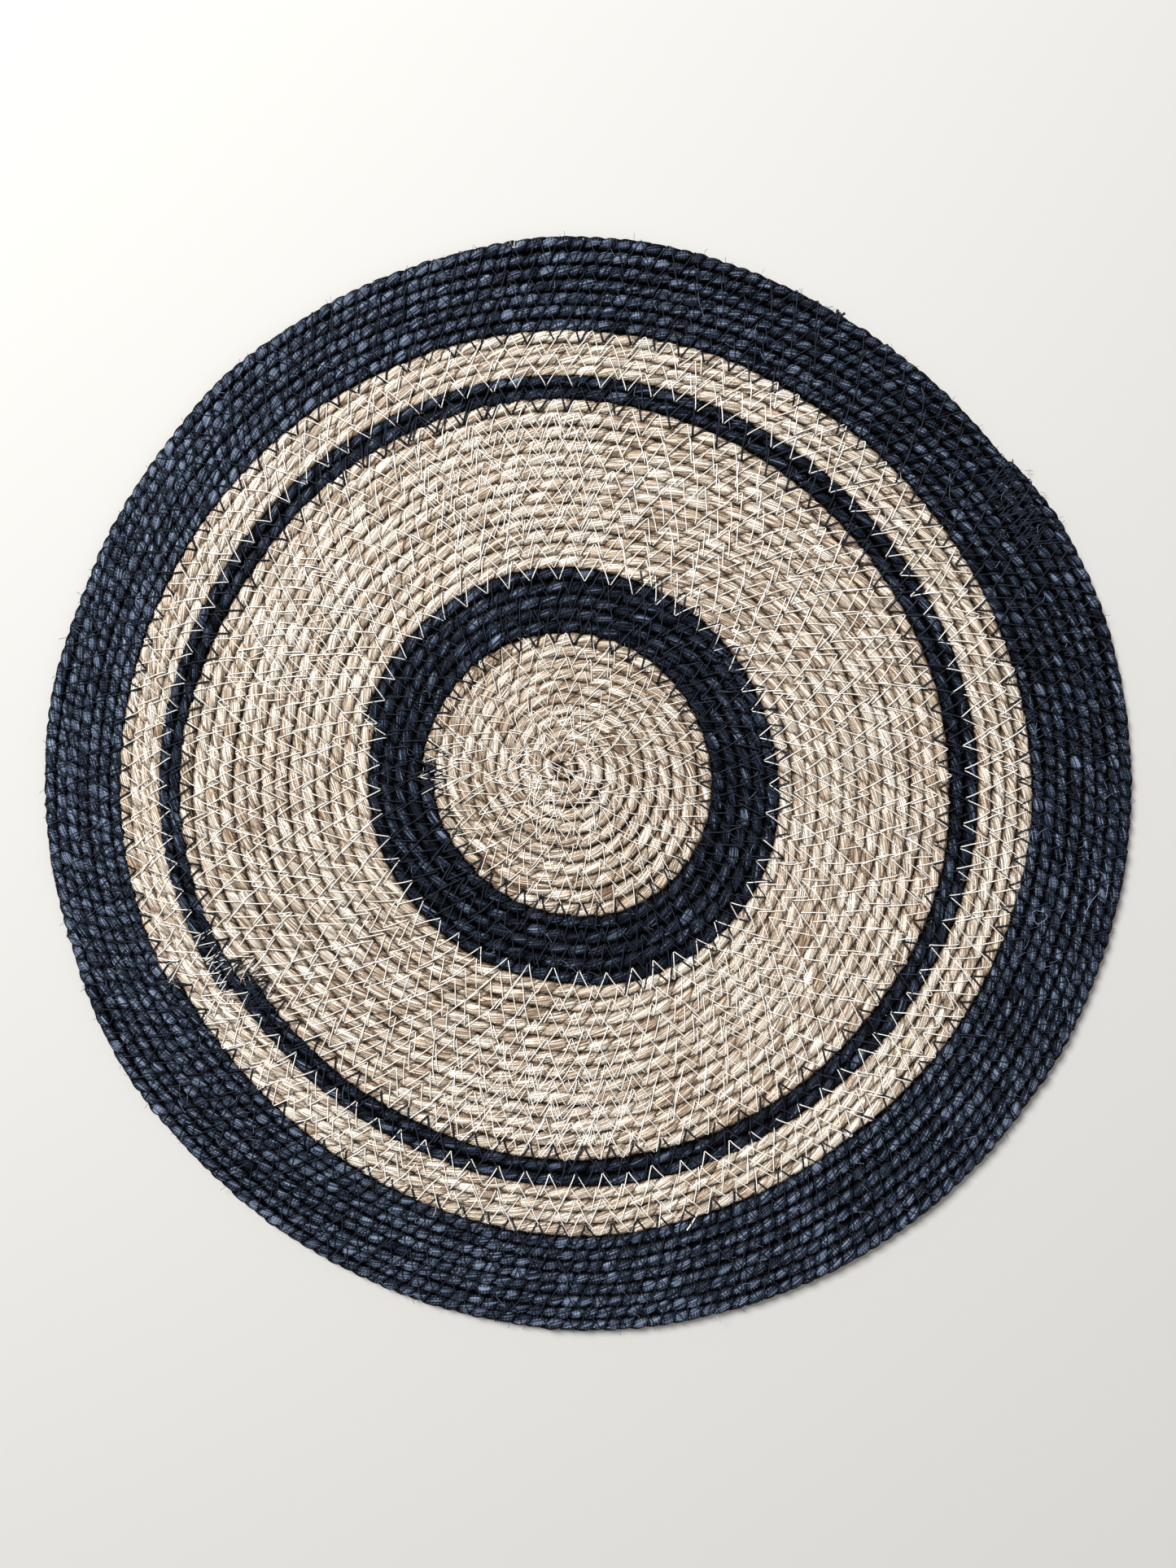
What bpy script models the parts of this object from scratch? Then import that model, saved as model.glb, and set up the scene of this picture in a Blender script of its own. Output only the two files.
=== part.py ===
"""Round placemat: six lengths of seagrass rope coiled flat on one spiral and sewn turn to turn.

Metres, +Z up. The origin is under the middle of the outline, on the surface that the mat lies on.
Each length of rope is one solid. Its turns meet in sewn valleys, their crests stand up as ribs on
both faces, and a narrow flat runs under every turn. The coil is a little oval, and its turns drift
to one side and bulge here and there, as the hand that fed the rope left them.
"""

import math
from collections import namedtuple

import bmesh
import bpy
import numpy as np

MM = 0.001
TURN = 360.0
HALF_TURN = 180.0

# The rope's section: heights above the surface, and places across its width from 0 to 1
CREST_HEIGHT = 4.8 * MM
TOP_VALLEY_HEIGHT = 3.5 * MM
UNDER_VALLEY_HEIGHT = 1.0 * MM
CREST_ACROSS = 0.5
LAND_INNER_ACROSS = 0.28
LAND_OUTER_ACROSS = 0.72

# The gap between two lengths of rope, along their seam and at their butted ends
SEAM_GAP = 0.3 * MM

# The cut end at the rim is pared down to this share of the rope's width and rib height
END_SHARE = 0.45

# Directions are in degrees, anticlockwise from +X as seen from above
SPIRAL_START = 287
OVAL_HEADING = 122
OVAL_REACH = 1.6 * MM
OVAL_FULL_RADIUS = 60 * MM
COLUMN_START = 7
COLUMN_CLEARANCE = 3.5
ANGLE_SLACK = 0.01
SHARP_ANGLE = 70

# The six lengths, from the middle outwards. Each starts where the last one ends, goes round the
# whole laps and on to its end direction. The pitch is in millimetres a turn, and the column step
# is the angle between two sections of its solid
Rope = namedtuple("Rope", "name finish laps ends_at pitch column_step")
ROPES = (
    Rope("centre_coil", "natural", 10, 174, 4.41, 20),
    Rope("inner_navy_ring", "navy", 4, 163, 4.73, 10),
    Rope("wide_natural_ring", "natural", 13, 211, 4.56, 10),
    Rope("thin_navy_ring", "navy", 2, 211, 4.45, 10),
    Rope("narrow_natural_ring", "natural", 3, 206, 4.09, 10),
    Rope("outer_navy_ring", "navy", 7, 37, 4.28, 10),
)

# Where the middle of a turn lies, by the turn's radius, all in millimetres
Drift = namedtuple("Drift", "radius right back")
DRIFT = (
    Drift(0, -9.3, 5.7),
    Drift(47, -5.7, 1.8),
    Drift(71, -5.8, 0.7),
    Drift(130, -7.0, 0.2),
    Drift(156, -3.8, -0.5),
    Drift(188, -1.8, 0.5),
)

# Where the hand that fed the rope let the turns bulge out, or drew them in where the reach is
# below zero. Each bulge has its middle's direction and radius, its reach at the middle, and how far
# it spreads round the mat in degrees and across the turns. Lengths are in millimetres
Bulge = namedtuple("Bulge", "heading radius reach spread depth")
BULGES = (
    Bulge(190, 55, 2.2, 24, 25),
    Bulge(264, 68, -1.7, 20, 25),
    Bulge(332, 75, 1.2, 26, 20),
    Bulge(342, 127, 1.2, 18, 9),
    Bulge(147, 128, -2.2, 16, 10),
    Bulge(188, 132, 3.0, 25, 40),
    Bulge(90, 139, 0.8, 16, 10),
    Bulge(2, 155, 2.5, 28, 50),
    Bulge(303, 156, -2.3, 20, 16),
    Bulge(268, 168, 1.5, 16, 35),
    Bulge(152, 190, -2.6, 20, 15),
    Bulge(213, 190, 1.3, 10, 14),
    Bulge(88, 192, 2.4, 16, 16),
)

# Base colour (linear), roughness
Finish = namedtuple("Finish", "colour roughness")
FINISHES = {
    "natural": Finish((0.56, 0.47, 0.37, 1.0), 0.75),
    "navy": Finish((0.030, 0.038, 0.055, 1.0), 0.65),
}


def spiral_joins():
    """The turned angle and inner radius where each length ends, after those of the centre."""
    joins = [(float(SPIRAL_START), 0.0)]
    for rope in ROPES:
        start, radius = joins[-1]
        turned = rope.laps * TURN + (rope.ends_at - start) % TURN
        joins.append((start + turned, radius + rope.pitch * MM * turned / TURN))
    return joins


JOINS = spiral_joins()


def inner_radius(turned):
    """The radius of the rope's inner side. Its outer side is the inner side one turn later."""
    angles = [angle for angle, _ in JOINS]
    radii = [radius for _, radius in JOINS]
    beyond = max(0.0, turned - angles[-1]) / TURN * ROPES[-1].pitch * MM
    return float(np.interp(turned, angles, radii)) + beyond


def apart(direction, other):
    """The angle from the other direction to this one, at most half a turn either way."""
    return (direction - other + HALF_TURN) % TURN - HALF_TURN


def bulge(turned, radius):
    """How far the turns are pushed out of their even spiral at this place."""
    pushed = 0.0
    for row in BULGES:
        beside = apart(turned, row.heading) / row.spread
        beyond = (radius / MM - row.radius) / row.depth
        pushed += row.reach * MM * math.exp(-(beside**2) - beyond**2)
    return pushed


def spiral_point(turned, inset=0.0, across=0.0):
    """The XY place at this angle of the spiral, part of the way from its inner to its outer side."""
    inner = inner_radius(turned)
    radius = inner + across * (inner_radius(turned + TURN) - inner)
    stops = [row.radius * MM for row in DRIFT]
    right = np.interp(radius, stops, [row.right * MM for row in DRIFT])
    back = np.interp(radius, stops, [row.back * MM for row in DRIFT])
    swell = OVAL_REACH * min(1.0, radius / OVAL_FULL_RADIUS)
    reach = radius + swell * math.cos(2 * math.radians(turned - OVAL_HEADING)) - inset
    reach += bulge(turned, radius)
    direction = math.radians(turned)
    return right + reach * math.cos(direction), back + reach * math.sin(direction)


def column_directions(step):
    """The directions of a turn's sections: an even fan, and every join in place of those near it."""
    ends = {angle % TURN for angle, _ in JOINS}
    even = {(COLUMN_START + step * k) % TURN for k in range(round(TURN / step))}
    clear = {
        direction
        for direction in even
        if all(abs(apart(direction, end)) > COLUMN_CLEARANCE for end in ends)
    }
    return sorted(clear | ends)


def stations(start, end, directions):
    """Every turned angle from start to end that falls on one of the directions."""
    first_lap = math.floor(start / TURN)
    last_lap = math.floor(end / TURN)
    every = [lap * TURN + d for lap in range(first_lap, last_lap + 1) for d in directions]
    return [a for a in every if start - ANGLE_SLACK < a < end + ANGLE_SLACK]


class Coil:
    """One length of rope as a bmesh: rows of points along the spiral, joined rib to rib."""

    def __init__(self, index):
        rope = ROPES[index]
        start, end = JOINS[index][0], JOINS[index + 1][0]
        directions = column_directions(rope.column_step)
        self.lap = len(directions)
        self.angles = stations(start, end + TURN, directions)
        self.last = len(self.angles) - 1 - self.lap
        self.is_centre = index == 0
        self.is_rim = index == len(ROPES) - 1
        self.mesh = bmesh.new()
        back_off = math.degrees(SEAM_GAP / inner_radius(end))
        self.angles[self.last] -= back_off
        self.angles[-1] -= back_off

    def row(self, across, height, count, rib=0.0):
        """Points at one place across the rope; the rib is the part of the height that is pared."""
        points = []
        for i in range(count):
            is_end = self.is_rim and i == self.last
            share = END_SHARE if is_end else 1.0
            x, y = spiral_point(self.angles[i], across=across * share)
            points.append(self.mesh.verts.new((x, y, height - rib * (1.0 - share))))
        return points

    def valley(self, height):
        """Points along the inner side of every turn, then along the outer side of the last one."""
        points = []
        for i, angle in enumerate(self.angles):
            if i < self.last:
                x, y = spiral_point(angle)
            elif self.is_rim and i == len(self.angles) - 1:
                x, y = spiral_point(angle - TURN, SEAM_GAP, END_SHARE)
            else:
                x, y = spiral_point(angle, SEAM_GAP)
            points.append(self.mesh.verts.new((x, y, height)))
        return points

    def face(self, *points):
        """One face through these points."""
        self.mesh.faces.new(points)

    def skin(self, valley, ribs):
        """The ribbed face between each valley and the next, one quad wide for each pair of rows."""
        for i in range(self.last):
            rows = [valley[i : i + 2]]
            rows += [rib[i : i + 2] for rib in ribs]
            rows.append(valley[i + self.lap : i + self.lap + 2])
            for inner, outer in zip(rows, rows[1:]):
                self.face(inner[0], inner[1], outer[1], outer[0])

    def wall(self, upper, lower, first):
        """The side of the coil along one turn from this station."""
        for i in range(first, first + self.lap):
            self.face(upper[i], upper[i + 1], lower[i + 1], lower[i])

    def cut_end(self, i, upper, lower, ribs_above, ribs_below):
        """The rope's section where it is cut."""
        above = [upper[i], *(rib[i] for rib in ribs_above), upper[i + self.lap]]
        below = [lower[i], *(rib[i] for rib in ribs_below), lower[i + self.lap]]
        self.face(*above, *reversed(below))

    def middle(self, valley, ribs):
        """Closes one face of the mat inside the first turn, and the rope's start beside it."""
        for i in range(1, self.lap):
            self.face(valley[0], valley[i], valley[i + 1])
        self.face(valley[0], *(rib[0] for rib in ribs), valley[self.lap])

    def build(self):
        """The closed solid, with its faces turned outwards."""
        count = self.last + 1
        rib = CREST_HEIGHT - TOP_VALLEY_HEIGHT
        upper = self.valley(TOP_VALLEY_HEIGHT)
        lower = self.valley(UNDER_VALLEY_HEIGHT)
        crest = [self.row(CREST_ACROSS, CREST_HEIGHT, count, rib)]
        land = [self.row(across, 0.0, count) for across in (LAND_INNER_ACROSS, LAND_OUTER_ACROSS)]
        self.skin(upper, crest)
        self.skin(lower, land)
        self.wall(upper, lower, self.last)
        self.cut_end(self.last, upper, lower, crest, land)
        if self.is_centre:
            self.middle(upper, crest)
            self.middle(lower, land)
        else:
            self.wall(upper, lower, 0)
            self.cut_end(0, upper, lower, crest, land)
        bmesh.ops.recalc_face_normals(self.mesh, faces=self.mesh.faces)
        return self.mesh


def rope_material(name, finish):
    """Dry, unpolished rope in one colour."""
    material = bpy.data.materials.new(name)
    material.use_nodes = True
    shader = material.node_tree.nodes["Principled BSDF"]
    shader.inputs["Base Color"].default_value = finish.colour
    shader.inputs["Roughness"].default_value = finish.roughness
    shader.inputs["Metallic"].default_value = 0.0
    material.diffuse_color = finish.colour
    return material


def make_rope(index):
    """One length of rope, placed where it lies in the mat."""
    rope = ROPES[index]
    solid = Coil(index).build()
    mesh = bpy.data.meshes.new(rope.name)
    solid.to_mesh(mesh)
    solid.free()
    mesh.shade_smooth()
    mesh.set_sharp_from_angle(angle=math.radians(SHARP_ANGLE))
    mesh.materials.append(rope_material(rope.name + "_finish", FINISHES[rope.finish]))
    piece = bpy.data.objects.new(rope.name, mesh)
    bpy.context.scene.collection.objects.link(piece)
    return piece


def main():
    for old in list(bpy.data.objects):
        bpy.data.objects.remove(old)
    mat = bpy.data.objects.new("placemat", None)
    bpy.context.scene.collection.objects.link(mat)
    for index in range(len(ROPES)):
        make_rope(index).parent = mat


main()
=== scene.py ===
"""Looks of a round seagrass placemat: twisted rope, machine sewing, loose fibres, floor and light.

Metres, +Z up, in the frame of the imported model. The mat is one flat spiral of two-ply rope in six
lengths, natural and navy by turns, sewn turn to turn with a wide zigzag in cream or dark thread.
"""

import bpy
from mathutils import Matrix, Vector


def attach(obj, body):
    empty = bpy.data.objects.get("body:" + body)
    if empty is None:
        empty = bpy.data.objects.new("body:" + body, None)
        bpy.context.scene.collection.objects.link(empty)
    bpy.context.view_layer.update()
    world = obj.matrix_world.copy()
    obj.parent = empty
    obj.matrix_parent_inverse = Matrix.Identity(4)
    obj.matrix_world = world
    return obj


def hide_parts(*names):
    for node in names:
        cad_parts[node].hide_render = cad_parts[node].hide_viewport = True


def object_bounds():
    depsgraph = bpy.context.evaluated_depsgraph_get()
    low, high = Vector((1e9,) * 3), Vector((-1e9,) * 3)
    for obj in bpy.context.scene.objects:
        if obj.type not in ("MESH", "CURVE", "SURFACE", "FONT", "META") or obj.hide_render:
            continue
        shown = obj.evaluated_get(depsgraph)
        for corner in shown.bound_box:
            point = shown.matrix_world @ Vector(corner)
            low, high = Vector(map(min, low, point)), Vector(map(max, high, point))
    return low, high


bl_info = {
    "name": "Seagrass placemat",
    "version": (1, 0, 0),
    "blender": (4, 5, 0),
    "location": "3D View > Sidebar > Placemat",
    "description": "Dresses the packed placemat with twisted rope, sewing thread and loose fibres",
    "category": "Object",
}

import math
from collections import namedtuple

import bpy
import numpy as np
from bpy.props import FloatProperty, FloatVectorProperty, PointerProperty

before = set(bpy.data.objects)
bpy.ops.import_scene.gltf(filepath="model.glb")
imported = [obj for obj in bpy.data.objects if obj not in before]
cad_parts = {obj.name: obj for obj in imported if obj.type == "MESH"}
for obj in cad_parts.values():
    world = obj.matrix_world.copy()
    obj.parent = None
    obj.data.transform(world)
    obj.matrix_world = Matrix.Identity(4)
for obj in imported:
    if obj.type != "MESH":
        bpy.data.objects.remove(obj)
CAD_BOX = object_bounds()

MM = 0.001
TURN = 360.0
HALF_TURN = 180.0
STEPS_A_DEGREE = 4

# The spiral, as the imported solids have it. Directions are in degrees, anticlockwise from +X
SPIRAL_START = 287
OVAL_HEADING = 122
OVAL_REACH = 1.6 * MM
OVAL_FULL_RADIUS = 60 * MM

# The six lengths of rope, from the middle outwards. Pitch is a turn's width, lay one full twist and
# stitch the zigzag's period, all in millimetres. Thread is a share of the thread's usual width, and
# shade makes the length paler (above 0) or darker
Rope = namedtuple("Rope", "name finish laps ends_at pitch lay stitch thread shade")
ROPES = (
    Rope("centre_coil", "natural", 10, 174, 4.41, 14.6, 7.6, 0.78, -0.6),
    Rope("inner_navy_ring", "navy", 4, 163, 4.73, 13.8, 7.2, 0.8, -0.8),
    Rope("wide_natural_ring", "natural", 13, 211, 4.56, 15.0, 9.3, 1.0, 0.0),
    Rope("thin_navy_ring", "navy", 2, 211, 4.45, 15.0, 9.6, 1.0, -1.0),
    Rope("narrow_natural_ring", "natural", 3, 206, 4.09, 15.0, 9.4, 1.0, 0.5),
    Rope("outer_navy_ring", "navy", 7, 37, 4.28, 10.4, 9.1, 0.75, 1.6),
)

# Where the middle of a turn lies, by the turn's radius, all in millimetres
Drift = namedtuple("Drift", "radius right back")
DRIFT = (
    Drift(0, -9.3, 5.7),
    Drift(47, -5.7, 1.8),
    Drift(71, -5.8, 0.7),
    Drift(130, -7.0, 0.2),
    Drift(156, -3.8, -0.5),
    Drift(188, -1.8, 0.5),
)

# Where the turns bulge out, or are drawn in (reach below 0): the direction and radius of the middle,
# the reach there, and how far it spreads round the mat in degrees and across the turns, the lengths
# in millimetres
Bulge = namedtuple("Bulge", "heading radius reach spread depth")
BULGES = (
    Bulge(190, 55, 2.2, 24, 25),
    Bulge(264, 68, -1.7, 20, 25),
    Bulge(332, 75, 1.2, 26, 20),
    Bulge(342, 127, 1.2, 18, 9),
    Bulge(147, 128, -2.2, 16, 10),
    Bulge(188, 132, 3.0, 25, 40),
    Bulge(90, 139, 0.8, 16, 10),
    Bulge(2, 155, 2.5, 28, 50),
    Bulge(303, 156, -2.3, 20, 16),
    Bulge(268, 168, 1.5, 16, 35),
    Bulge(152, 190, -2.6, 20, 15),
    Bulge(213, 190, 1.3, 10, 14),
    Bulge(88, 192, 2.4, 16, 16),
)

# Stretches that the machine went over again: every seam whose radius is between inner and outer, to
# this spread on both sides of the heading. Lengths are in millimetres, the unevenness is a share of
# the stitch, and thread a share of the thread's usual width
Resewn = namedtuple("Resewn", "finish inner outer heading spread stitch unevenness thread")
RESEWN = (
    Resewn("natural", 9, 24, 200, 150, 13.0, 0.6, 0.72),
    Resewn("natural", 88, 126, 101, 16, 9.0, 0.5, 0.72),
    Resewn("natural", 95, 130, 265, 17, 10.5, 0.8, 0.72),
    Resewn("natural", 88, 125, 150, 13, 9.0, 0.5, 0.72),
    Resewn("natural", 78, 105, 310, 10, 9.0, 0.5, 0.72),
    Resewn("natural", 38, 48, 172, 14, 6.0, 0.5, 0.72),
    Resewn("natural", 138, 143, 206, 4, 3.4, 0.5, 0.72),
    Resewn("natural", 141, 146, 212, 5, 6.5, 0.4, 0.72),
    Resewn("navy", 44, 50, 176, 8, 3.6, 0.4, 0.7),
    Resewn("navy", 70.7, 75.2, 358, 74, 8.0, 0.2, 1.0),
    Resewn("navy", 131, 136, 114, 14, 9.0, 0.2, 1.0),
    Resewn("navy", 129, 136, 211.8, 4.5, 3.2, 0.4, 0.62),
    Resewn("navy", 154, 160, 208, 5, 7.0, 0.4, 0.8),
    Resewn("navy", 178, 187, 32, 5, 4.0, 0.4, 0.8),
)

# Where a length is painted darker (below 0) or paler than its own finish, to this spread round the
# heading: painted sheen on the side towards the key light, painted shade on the upper right
Patch = namedtuple("Patch", "name heading spread shade")
SHEEN_AND_SHADE_PATCHES = (
    Patch("outer_navy_ring", 30, 45, -1.9),
    Patch("outer_navy_ring", 135, 35, 0.5),
    Patch("inner_navy_ring", 130, 50, 0.5),
)

# Threads across the first turns, in sets side by side. Their tips sink into the rope, and each strays
# by a share of the gap and turns aside by some radians
MIDDLE_SETS = 15
MIDDLE_SET = 2
MIDDLE_GAP = 1.9 * MM
MIDDLE_REACH = 15 * MM
MIDDLE_HALF_LENGTHS = (2.0 * MM, 6.0 * MM)
MIDDLE_SINK = 1.2 * MM
MIDDLE_STRAY = 0.4
MIDDLE_TURN = 0.2

# The width of the middle's thread as a share of the zigzag's, and the share and tone of the dark
# thread in a navy ring's first seam, where it lies bold on natural rope
FINE_SHARE = 0.72
EDGE_SHARE = 1.08
EDGE_TONE = -1.6

# Single stray ends: the root's place, the heading there, the length, how far the end turns, how far
# its tip rises, its width, and its tone from dark (below 0) to pale, the lengths in millimetres.
# Every hair turns faster at its corners than between them
Stray = namedtuple("Stray", "finish right back heading length turn rise width tone")
STRAYS = (
    Stray("natural", 38.2, -150.8, 243, 6.7, -12, 0.1, 0.6, 1.5),
    Stray("natural", -26.3, 187.6, 112, 3.6, 12, 0.3, 0.22, 1.0),
    Stray("natural", -25.9, 187.6, 96, 2.6, -30, 0.3, 0.3, 1.5),
    Stray("natural", -25.0, 187.8, 84, 2.4, -70, 0.2, 0.22, 0.5),
    Stray("navy", 158.6, -49.3, 184, 17.0, -400, 0.4, 0.24, 1.8),
    Stray("navy", 176.5, -29.0, -22, 13.2, -95, 0.4, 0.26, 1.8),
    Stray("navy", 179.4, -37.8, 222, 12.6, 40, 0.3, 0.26, 1.2),
    Stray("navy", 86.6, 162.6, 66, 3.9, 20, -0.8, 1.1, -4.0),
    Stray("navy", 87.2, 162.3, 56, 4.2, -25, -1.0, 1.0, -4.0),
    Stray("navy", 87.8, 161.9, 70, 3.6, 30, -0.6, 0.9, -4.0),
)
CURL_CORNERS = 3
CURL_BITE = 0.05
STRAY_POINTS = 18
STRAY_ROOT_HEIGHT = 4.6 * MM

# Hairs on top of each length of rope, those round the rim, and the frayed ends where lengths meet,
# and how far across the rope they stand
HAIRS_A_METRE = {"natural": 11, "navy": 32}
TOP_ACROSS = (0.2, 0.8)
RIM_HAIRS = 150
RIM_HAIR_ACROSS = 0.97
JOIN_HAIRS = 8
JOIN_ACROSS = (0.1, 0.9)
JOIN_SPREAD = 1.2 * MM
JOIN_WIDTH_SHARE = 1.6
JOIN_TONE = -2.0
HAIR_POINTS = 7
HAIR_WIDTH = 0.16 * MM

# How such hairs lie: the heights of their roots, their heading from the one outwards in degrees, how
# they lean from it, how much that varies and how much they bend in radians, and how far their tips
# rise. Some lie both ways along the rope, and some droop as often as rise
Hairs = namedtuple("Hairs", "low high heading lean spread shortest longest bend rise both_ways droop")
TOP = CAD_BOX[1].z
TOP_HAIRS = Hairs(
    TOP - 0.5 * MM, TOP, 90, -0.5, 0.6, 1.5 * MM, 5.5 * MM, 0.9, 0.7 * MM, True, False
)
RIM_ENDS = Hairs(1.2 * MM, 3.6 * MM, 0, 0.0, 0.7, 0.8 * MM, 3.2 * MM, 1.0, 0.5 * MM, False, True)
JOIN_ENDS = Hairs(
    TOP - 1.2 * MM, TOP, 90, 0.0, 0.35, 1.5 * MM, 3.5 * MM, 0.8, 0.4 * MM, False, False
)

# The rope's section. Each ply has points at these angles from its middle, the first in the groove
PLY_ANGLES = (-90, -76, -38, 0, 38, 76)
PLIES = 2
STEP = 1.05 * MM
GROOVE_SHARE = 0.6
PLY_ROUNDNESS = 0.4
SECTION_FULLNESS = 0.72
SIDE_GROOVE = 0.45
NOTCH_SPREAD = 0.8
BEAD_LEAN = 0.42
SEAM_SINK = 0.34
SIDE_OVERLAP = 1.24
UNDER_LIFT = 0.15 * MM
FIBRE_TILT = 0.3
BEAD_OFFSET = 3.7 * MM
GROOVE_ANGLE = 55
BAKE_ROWS = 24
BAKE_MARGIN = 0.0015

# The rope starts this many degrees before the spiral of the solids, and grows from these shares of
# its size, and from a painted shade where it dives into the middle, over a little more than that
CORE_LEAD = 140
CORE_GROWTH = 1.6 * CORE_LEAD
CORE_HEIGHT = 0.4
CORE_WIDTH = 0.55
CORE_PAINTED_SHADE = -4.0

# The end at the rim is pared to these shares of the rope's width and height, and every cut end is
# rounded over a short way, down to a share of the rope
RIM_TAPER = 26 * MM
RIM_WIDTH = 0.45
RIM_HEIGHT = 0.5
END_ROUNDING = 0.6 * MM
END_SHARE = 0.4

# Smooth random changes along the rope, each with its size and the length over which it changes
Wander = namedtuple("Wander", "size spacing")
TWIST_WANDER = Wander(0.45, 22 * MM)
SIDE_WANDER = Wander(0.22 * MM, 30 * MM)
SWELL_WANDER = Wander(0.07, 9 * MM)
TONE_WANDERS = (Wander(0.45, 60 * MM), Wander(0.5, 14 * MM))

# Each bead draws a lot from 0 to 1: below which it is pale and above which brown, the tones of both,
# and how much the tone varies from bead to bead
PALE_BELOW = 0.1
PALE_TONE = 1.5
BROWN_ABOVE = 0.93
BROWN_TONE = -1.2
BEAD_TONE = 0.35

# Places along a leg of the zigzag: -1 and 1 are the grooves a turn inside and outside of the seam.
# A leg lies on the highest rope at and beside each place, this share of its own radius above it
LEG_TOP = (-1.0, -0.82, -0.4, 0.0, 0.4, 0.82, 1.0)
LEG_UNDER = (-1.0, -0.6, 0.6, 1.0)
SETTLE = (-0.1, -0.05, 0.0, 0.05, 0.1)
LAST_PLACE = 0.999
THREAD_LIFT = 0.8
SEAM_DIP = 0.45
BOW = 0.13 * MM
TIP_SINK = 0.4 * MM

# How far the tips reach, as a share of a turn, how uneven the stitches are, as a share of one, how
# far apart two legs are where they meet: at least, and at most more, and where the first seam starts
LEG_REACH = 0.94
LEG_REACH_SPREAD = 0.08
LEG_REACH_LIMITS = (0.78, 1.08)
STITCH_UNEVENNESS = 0.14
TipGap = namedtuple("TipGap", "least spread")
INNER_GAP = TipGap(0.2 * MM, 0.7 * MM)
OUTER_GAP = TipGap(0.1 * MM, 0.5 * MM)
FIRST_SEAM = 0.6 * TURN

# A thread's section is a triangle as wide as the thread: its flat side and its ridge lie these shares
# of the radius from its middle, and the way round is so many radii. Each thread's twist starts a
# little further on, and a margin stays free round its cell of the baked sheet
FLAT_SIDE = 0.45
RIDGE = 0.8
WAY_ROUND = 6
TWIST_OFFSET = 0.013
CELL_MARGIN = 0.08

# The random seeds
ROPE_SEED = 41
SEWING_SEED = 141
RESEWING_SEED = 241
MIDDLE_SEED = 341
FIBRE_SEED = 441

# What a blushed leaf and a split between two leaves multiply the colour by, and the painted shade
# in a groove or in the seam between turns
Shades = namedtuple("Shades", "tint crack groove")
SHADES = {
    "natural": Shades((0.85, 0.60, 0.52, 1.0), (0.32, 0.23, 0.16, 1.0), (0.17, 0.12, 0.08, 1.0)),
    "navy": Shades((1.3, 1.3, 1.35, 1.0), (0.22, 0.23, 0.26, 1.0), (0.02, 0.02, 0.03, 1.0)),
}

# How far each thing moves the rope's colour along its ramp, the crest's part being a painted
# highlight on each bead's top; how deep in the groove and in the seam the painted shade starts, how
# deep in the seam it is fully dark, and the groove's share of that painted shade on top
Reach = namedtuple("Reach", "level crest tone fibre leaf groove seam dark_seam cleft")
REACHES = {
    "natural": Reach(0.48, 0.16, 0.11, 2.0, 1.0, 0.38, 0.34, 1.0, 0.62),
    "navy": Reach(0.13, 0.59, 0.09, 1.6, 0.65, 0.44, 0.38, 0.72, 0.5),
}

# Fibre, leaf, split, hairline and blush along the plies: noise that changes this many times a metre
# along, across and up the ply, from a start of its own
Streak = namedtuple("Streak", "lengthwise crosswise upright start detail roughness")
STREAKS = (
    Streak(65.0, 2100.0, 500.0, 0.0, 1.0, 0.6),
    Streak(60.0, 900.0, 300.0, 3.0, 1.0, 0.5),
    Streak(45.0, 1250.0, 350.0, 7.0, 1.0, 0.5),
    Streak(60.0, 1600.0, 400.0, 9.0, 0.0, 0.5),
    Streak(30.0, 420.0, 200.0, 11.0, 1.0, 0.5),
)

# A split or hairline is where its noise is this near its middle, and a blush where it is this high,
# each with its strength
NOISE_MIDDLE = 0.5
SPLIT_EDGES = (0.01, 0.05)
HAIRLINE_EDGES = (0.01, 0.07)
HAIRLINE_SHARE = 0.75
CRACK_SHARE = 0.85
BLUSH_EDGES = (0.62, 0.72)
BLUSH_SHARE = 0.45

# How the gloss follows the rope's tone and the leaf's noise, and how far fibre, leaf and crack raise
# or sink the leaf, as shares of the relief's depth
Gloss = namedtuple("Gloss", "level tone leaf_level leaf leaf_middle")
ROPE_GLOSS = Gloss(0.6, 0.25, 0.2, 3.0, 0.42)
Relief = namedtuple("Relief", "fibre leaf crack depth")
ROPE_RELIEF = Relief(0.8, 0.7, 0.6, 0.45 * MM)

# The thread: its twist in radians a metre along and across it, where its colour lies between dark
# (0) and pale (1), how far its tone and twist move that (the twist's part is painted light on each
# ridge and painted shade in the groove between), and its relief
Twine = namedtuple("Twine", "along across level tone twist depth bump")
TWINE = Twine(5200.0, 3200.0, 0.55, 0.2, 0.15, 0.05 * MM, 0.6)

# The threads and hairs on each rope: the settings of their pale and dark colour, how light each is
# made, and the rest of their finish
Thread = namedtuple("Thread", "name pale lightness dark darkness roughness specular sheen")
THREADS = {
    "natural": Thread("cream_thread", "cream_thread", 1.0, "cream_thread", 0.78, 0.6, 0.5, 0.2),
    "navy": Thread("dark_thread", "dark_thread", 2.9, "dark_thread", 0.6, 0.5, 0.12, 0.0),
}
FIBRES = {
    "natural": Thread("natural_fibre", "natural_pale", 1.0, "natural_mid", 0.8, 0.6, 0.5, 0.0),
    "navy": Thread("navy_fibre", "navy_pale", 1.3, "navy_mid", 0.4, 0.5, 0.2, 0.0),
}

# Where the three colours of each rope stand on its ramp, from dark to pale, and how it shines
RAMPS = {"natural": (0.08, 0.42, 0.80), "navy": (0.22, 0.55, 0.95)}
Surface = namedtuple("Surface", "coat roughness specular coat_roughness")
SURFACES = {"natural": Surface(0.4, 0.55, 0.28, 0.36), "navy": Surface(0.12, 0.5, 0.06, 0.32)}

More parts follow.
